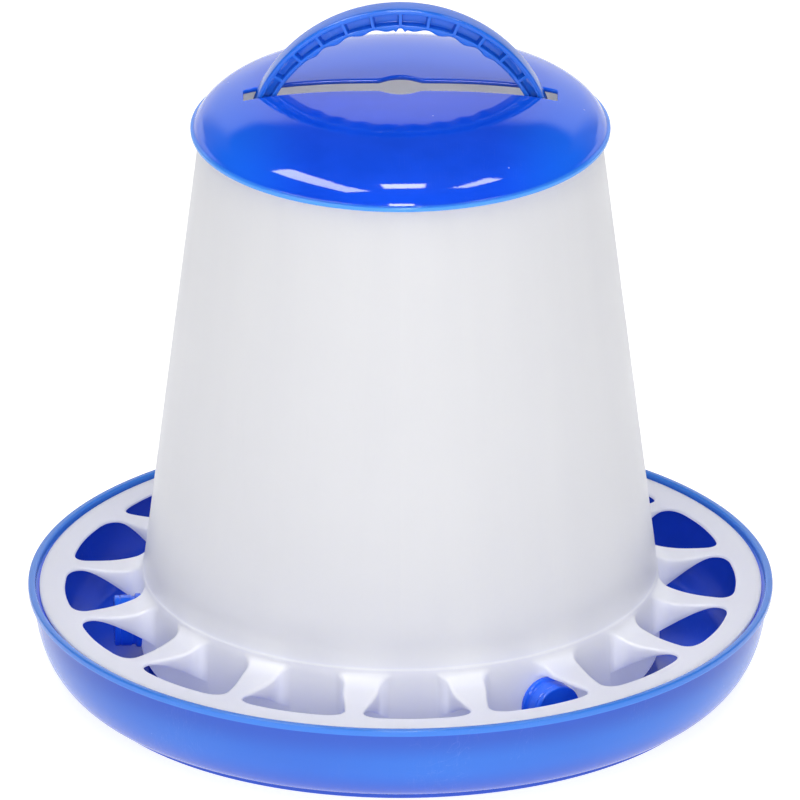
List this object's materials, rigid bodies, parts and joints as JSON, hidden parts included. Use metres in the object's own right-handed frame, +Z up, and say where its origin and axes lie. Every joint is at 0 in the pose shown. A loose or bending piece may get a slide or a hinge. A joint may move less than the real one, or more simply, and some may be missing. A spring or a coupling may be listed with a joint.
{
  "type": "gravity poultry feeder",
  "caption": "Tapered feed hopper with a slotted domed lid and carrying handle, standing in a round trough under a feed ring with bird holes.",
  "frame": {"origin": "middle of the pan's foot ring, on the surface it stands on", "axes": "+Z up along the feeder's axis, -Y the front, +X along the lid's slot and the handle"},
  "size_m": [0.365, 0.365, 0.3519],
  "materials": {
    "pan_blue": "moulded polypropylene, satin gloss",
    "milky_white": "milky translucent polypropylene",
    "lid_blue": "moulded polypropylene, high gloss",
    "handle_blue": "moulded polypropylene, satin gloss",
    "knob_blue": "moulded polypropylene, gloss"
  },
  "bodies": {
    "pan": {"base_pan": "pan_blue", "clamp_bolt_1": "knob_blue", "clamp_bolt_2": "knob_blue", "clamp_bolt_3": "knob_blue"},
    "hopper": {"hopper": "milky_white", "feed_ring": "milky_white", "handle": "handle_blue"},
    "lid": {"lid": "lid_blue"},
    "knob_1": {"clamp_knob_1": "knob_blue"},
    "knob_2": {"clamp_knob_2": "knob_blue"},
    "knob_3": {"clamp_knob_3": "knob_blue"}
  },
  "joints": [
    {"name": "hopper_lift", "type": "slide", "parent": "pan", "child": "hopper", "axis": [0, 0, 1], "range_m": [0, 0.008]},
    {"name": "lid_lift", "type": "slide", "parent": "hopper", "child": "lid", "axis": [0, 0, 1], "range_m": [0, 0.09]},
    {"name": "knob_1_turn", "type": "hinge", "parent": "pan", "child": "knob_1", "pos_m": [0.06973, -0.10615, 0.0285], "axis": [0.549, -0.8358, 0], "range_deg": [0, 720]},
    {"name": "knob_2_turn", "type": "hinge", "parent": "pan", "child": "knob_2", "pos_m": [0.05706, 0.11346, 0.0285], "axis": [0.4493, 0.8934, 0], "range_deg": [0, 720]},
    {"name": "knob_3_turn", "type": "hinge", "parent": "pan", "child": "knob_3", "pos_m": [-0.12679, -0.00731, 0.0285], "axis": [-0.9983, -0.0576, 0], "range_deg": [0, 720]}
  ]
}
